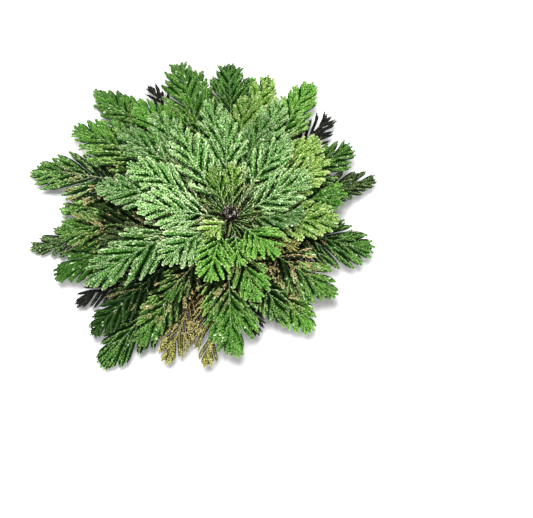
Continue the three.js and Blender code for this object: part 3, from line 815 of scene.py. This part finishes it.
def dead_fronds():
    """The mat of old dead fronds under the others, in whorls below the lowest layer. Their dark colour
    is partly their own and partly painted shade under the rosette.
    """
    draw = seeded_draw(DEAD_FRONDS["seed"])
    index = len(FRONDS)
    for layer, count, first in DEAD_FRONDS["whorls"]:
        for order in range(count):
            index += 1
            bearing = first + order / count * 360 + (next(draw) - 0.5) * DEAD_FRONDS["vary"]
            reach, breadth = (blend(*DEAD_FRONDS[size], next(draw)) for size in ("reach", "breadth"))
            bend = (next(draw) - 0.5) * DEAD_FRONDS["bend"]
            yield Frond(index, ("dead", bearing, reach, layer, breadth, bend, "dead"), -DEAD_FRONDS["sunk"])


def grow_stubs(growth, chance, kind, orders):
    """The feet of fronds that have broken off, still clad in leaves, all round the crown."""
    shade, old = STUB_LEAVES[kind]
    for order in orders:
        layer = blend(*STUBS["layer"], (order + 0.5) / STUBS["count"])
        reach = crown_radius(layer) + RACHIS["end_inset"] + chance.uniform(*STUBS["long"])
        bend = chance.uniform(-STUBS["bend"], STUBS["bend"])
        frond = Frond(0, ("stub", order * SPIRAL, reach, layer, STUBS["breadth"], bend, kind), -STUBS["sunk"])
        frond.shade = chance.normal(shade, STUBS["vary_shade"])
        frond.bare, frond.old = STUBS["bare"], old
        grow_rachis(growth, frond, Leafing(growth, frond, chance))
        growth.settle(frond.lay)


def grow_rootstock(materials):
    chance = np.random.default_rng(ROOTS["seed"])
    growth = Growth()
    grow_crown(growth, chance)
    grow_roots(growth, chance)
    grow_curled_tips(growth, chance)
    growth.settle(lambda corners: corners * MM)
    growth.finish("crown_and_roots", materials["wood"], "rootstock", "rootstock_wood")

    growth = Growth()
    for frond in dead_fronds():
        grow_frond(growth, frond)
    growth.finish("dead_fronds", materials["dead"], "rootstock", "rootstock_wood")

    growth = Growth()
    grow_stubs(growth, chance, "dead", range(STUBS["dead"]))
    growth.finish("broken_stubs", materials["dead"], "rootstock", "rootstock_wood")

    growth = Growth()
    grow_stubs(growth, chance, "green", range(STUBS["dead"], STUBS["count"]))
    growth.finish("green_stubs", materials["green"], "rootstock", "rootstock_wood")


# ---------- finishes ----------

# deep tone, light tone, pale rim, and the colour of the old foot of the frond, dark partly from age
# and partly as painted shade under the fronds above
LEAF_TONES = {
    "green": ("1c5008", "4a980e", "b4d480", "1e300c"),
    "dark": ("123a04", "34780e", "aaca80", "16340c"),
    "pale": ("225808", "4e9c24", "d2e6b0", "203a0e"),
    "lime": ("306208", "70a822", "e2eca4", "3e5414"),
    "olive": ("16320a", "446c26", "a8b884", "2a2c12"),
    "straw": ("3a3a10", "98a038", "e8e094", "553e1e"),
    "black": ("0c100a", "303828", "6c7060", "1c1c12"),
    "dead": ("141408", "383a1c", "a4a074", "18180c"),
    # the wood is near black, partly its own colour and partly painted shade in the hollow of the crown
    "wood": ("100a06", "2e2218", "fff6e4", "20150d"),
}
# dry leaves, their bleached rims, painted glints, and the painted shade deep between the stems
DRY, BLEACHED, GLINT_WHITE, SHADOW = "6e5230", "dcc494", "cfe4bb", "000000"
# how rough each of them is, and how little all of them shine
ROUGHNESS = {"leaves": 0.36, "stems": 0.6, "floor": 0.8}
SHINE = 0.12


def paint(code):
    """A colour from its hexadecimal code, as a linear colour."""
    parts = [int(code[k:k + 2], 16) / 255 for k in (0, 2, 4)]
    return (*[p / 12.92 if p <= 0.04045 else ((p + 0.055) / 1.055) ** 2.4 for p in parts], 1.0)


class Finish:
    """A material under construction: a Principled shader and the nodes that feed it."""

    def __init__(self, name, roughness):
        self.material = bpy.data.materials.new(name)
        self.material.use_nodes = True
        self.nodes = self.material.node_tree.nodes
        self.links = self.material.node_tree.links
        self.shader = self.nodes["Principled BSDF"]
        self.shader.inputs["Roughness"].default_value = roughness
        self.shader.inputs["Specular IOR Level"].default_value = SHINE
        self.where = self.nodes.new("ShaderNodeTexCoord").outputs["Object"]

    def knows(self, word, *span):
        """What the corners know of the word, or where that is in a span, as spread gives it."""
        node = self.nodes.new("ShaderNodeAttribute")
        node.attribute_name = word
        return self.spread(node.outputs["Fac"], *span) if span else node.outputs["Fac"]

    def noise(self, size, *span):
        """Blotches of about that size, in millimetres."""
        node = self.nodes.new("ShaderNodeTexNoise")
        node.inputs["Scale"].default_value = 1 / (size * MM)
        node.inputs["Detail"].default_value = 3.0
        self.links.new(self.where, node.inputs["Vector"])
        return self.spread(node.outputs["Fac"], *span)

    def spread(self, value, low, high, to_low=0.0, to_high=1.0):
        """The value from low to high, drawn out to run from to_low to to_high."""
        node = self.nodes.new("ShaderNodeMapRange")
        for socket, number in zip(node.inputs[1:5], (low, high, to_low, to_high)):
            socket.default_value = number
        self.links.new(value, node.inputs["Value"])
        return node.outputs["Result"]

    def times(self, first, second):
        node = self.nodes.new("ShaderNodeMath")
        node.operation = "MULTIPLY"
        self.links.new(first, node.inputs[0])
        self.links.new(second, node.inputs[1])
        return node.outputs["Value"]

    def mix(self, share, low, high):
        """A colour between low and high. Each of the three is fixed, or comes from a node."""
        node = self.nodes.new("ShaderNodeMix")
        node.data_type = "RGBA"
        for value, word in ((share, "Factor"), (low, "A"), (high, "B")):
            socket = node.inputs[word]
            if isinstance(value, (float, tuple)):
                socket.default_value = value
            else:
                self.links.new(value, socket)
        return node.outputs["Result"]

    def feed(self, word, value):
        self.links.new(value, self.shader.inputs[word])


def leaf_finish(kind):
    deep, light, rim, foot = (paint(code) for code in LEAF_TONES[kind])
    finish = Finish(f"scale_leaves_{kind}", ROUGHNESS["leaves"])
    finish.feed("Roughness", finish.noise(1.5, 0.4, 0.6, 0.25, 0.5))

    # lighter towards the rim and the tip of the frond, each leaf in its own tint; darker towards the foot,
    # partly from age and partly as painted shade under the fronds above
    tint_and_shade = finish.times(finish.knows("tint", 0.1, 0.85), finish.knows("rim", 0.1, 0.8, 0.3, 1.2))
    tint_and_shade = finish.times(tint_and_shade, finish.knows("ripe", 0.8, 2.0, 0.5, 1.15))
    tone = finish.mix(tint_and_shade, deep, light)
    rimmed = finish.mix(finish.times(finish.knows("rim", 0.35, 0.95), finish.knows("pale")), tone, rim)
    # painted glints: a few leaves near white, most towards their tips
    painted_glint = finish.times(finish.knows("pale", *PAINTED_GLINTS["shows"]), finish.knows("rim", 0.1, 0.7, 0.3, 0.9))
    fresh = finish.mix(painted_glint, rimmed, paint(GLINT_WHITE))

    # old leaves take the colour of the foot in blotches, or have dried; that colour is dark partly from age
    # and partly as painted shade under the fronds above
    dry = finish.mix(finish.knows("rim", 0.1, 0.9), paint(DRY), paint(BLEACHED))
    old = finish.mix(finish.knows("dry"), foot, dry)
    worn = finish.times(finish.knows("ripe", 1.2, 0.4), finish.noise(6, 0.3, 0.55, 0.4, 0.95))
    finish.feed("Base Color", finish.mix(worn, fresh, old))
    return finish.material


def stem_finish(kind):
    deep, light, rim, foot = (paint(code) for code in LEAF_TONES[kind])
    finish = Finish(f"stems_{kind}", ROUGHNESS["stems"])
    # painted shade: stems, webs, crown and roots are mixed with black, most at the bare foot
    bare, leafy = finish.mix(0.6, foot, paint(SHADOW)), finish.mix(0.2, deep, paint(SHADOW))
    tone = finish.mix(finish.knows("ripe", 0.0, 0.8), bare, leafy)
    finish.feed("Base Color", finish.mix(finish.noise(2.0, 0.5, 0.75, 0.0, 0.3), tone, foot))
    return finish.material


# ---------- the room ----------

# the size of the image and the crown's place in it, in pixels; the top of the crown, the camera's
# distance from it, and the lamps, each with its place, size and power, in metres and watts
IMAGE = (533, 518)
CROWN_IN_IMAGE = (230, 215)
CROWN_SPOT = Vector((*AXIS, HIGHEST_LAYER["height"])) * MM
CAMERA = {"elevation": 66, "distance": 0.9084, "lens": 135, "sensor": 36}
LAMPS = [
    ("key", (-0.03, -0.22, 1.12), 0.26, 16.0),
    ("front_left", (-0.65, -0.7, 0.6), 0.5, 2.6),
    ("front_right", (0.65, -0.7, 0.6), 0.5, 2.6),
    ("back_left", (-0.5, 0.75, 0.6), 0.5, 1.9),
    ("back_right", (0.5, 0.75, 0.6), 0.5, 1.9),
]
DAYLIGHT = 0.42
FLOOR = {"half": 3, "colour": (0.9, 0.9, 0.9, 1)}


def set_camera():
    data = bpy.data.cameras.new("camera")
    data.lens = CAMERA["lens"]
    data.sensor_width = CAMERA["sensor"]
    camera = new_object("camera", data)
    tilt = math.radians(CAMERA["elevation"])
    back = Vector((0, -math.cos(tilt), math.sin(tilt)))
    up = Vector((0, math.sin(tilt), math.cos(tilt)))
    metres_per_pixel = CAMERA["distance"] * CAMERA["sensor"] / CAMERA["lens"] / IMAGE[0]
    aside, below = ((side / 2 - spot) * metres_per_pixel for side, spot in zip(IMAGE, CROWN_IN_IMAGE))
    camera.location = CROWN_SPOT + Vector((aside, 0, 0)) - up * below + back * CAMERA["distance"]
    camera.rotation_euler = back.to_track_quat("Z", "Y").to_euler()
    bpy.context.scene.camera = camera


def set_floor():
    bm = bmesh.new()
    bmesh.ops.create_grid(bm, x_segments=1, y_segments=1, size=FLOOR["half"])
    mesh = bpy.data.meshes.new("floor")
    bm.to_mesh(mesh)
    bm.free()
    floor = new_object("floor", mesh)
    finish = Finish("pale_floor", ROUGHNESS["floor"])
    finish.shader.inputs["Base Color"].default_value = FLOOR["colour"]
    mesh.materials.append(finish.material)


def set_lights():
    for name, place, size, power in LAMPS:
        data = bpy.data.lights.new(name, "AREA")
        data.size = size
        data.energy = power
        light = new_object(name, data)
        light.location = place
        light.rotation_euler = Vector(place).to_track_quat("Z", "Y").to_euler()
    world = bpy.data.worlds.new("studio")
    world.use_nodes = True
    background = world.node_tree.nodes["Background"]
    background.inputs["Color"].default_value = (1, 1, 1, 1)
    background.inputs["Strength"].default_value = DAYLIGHT
    bpy.context.scene.world = world
    bpy.context.scene.view_settings.view_transform = "Standard"


set_camera()
set_floor()
set_lights()

finishes = {kind: [stem_finish(kind), leaf_finish(kind)] for kind in LEAF_TONES}
for index, row in enumerate(FRONDS):
    growth = Growth()
    grow_frond(growth, Frond(index, row))
    growth.finish(f"{row[0]}_frond", finishes[row[-1]], row[0], f"frond_{row[-1]}")
grow_rootstock(finishes)
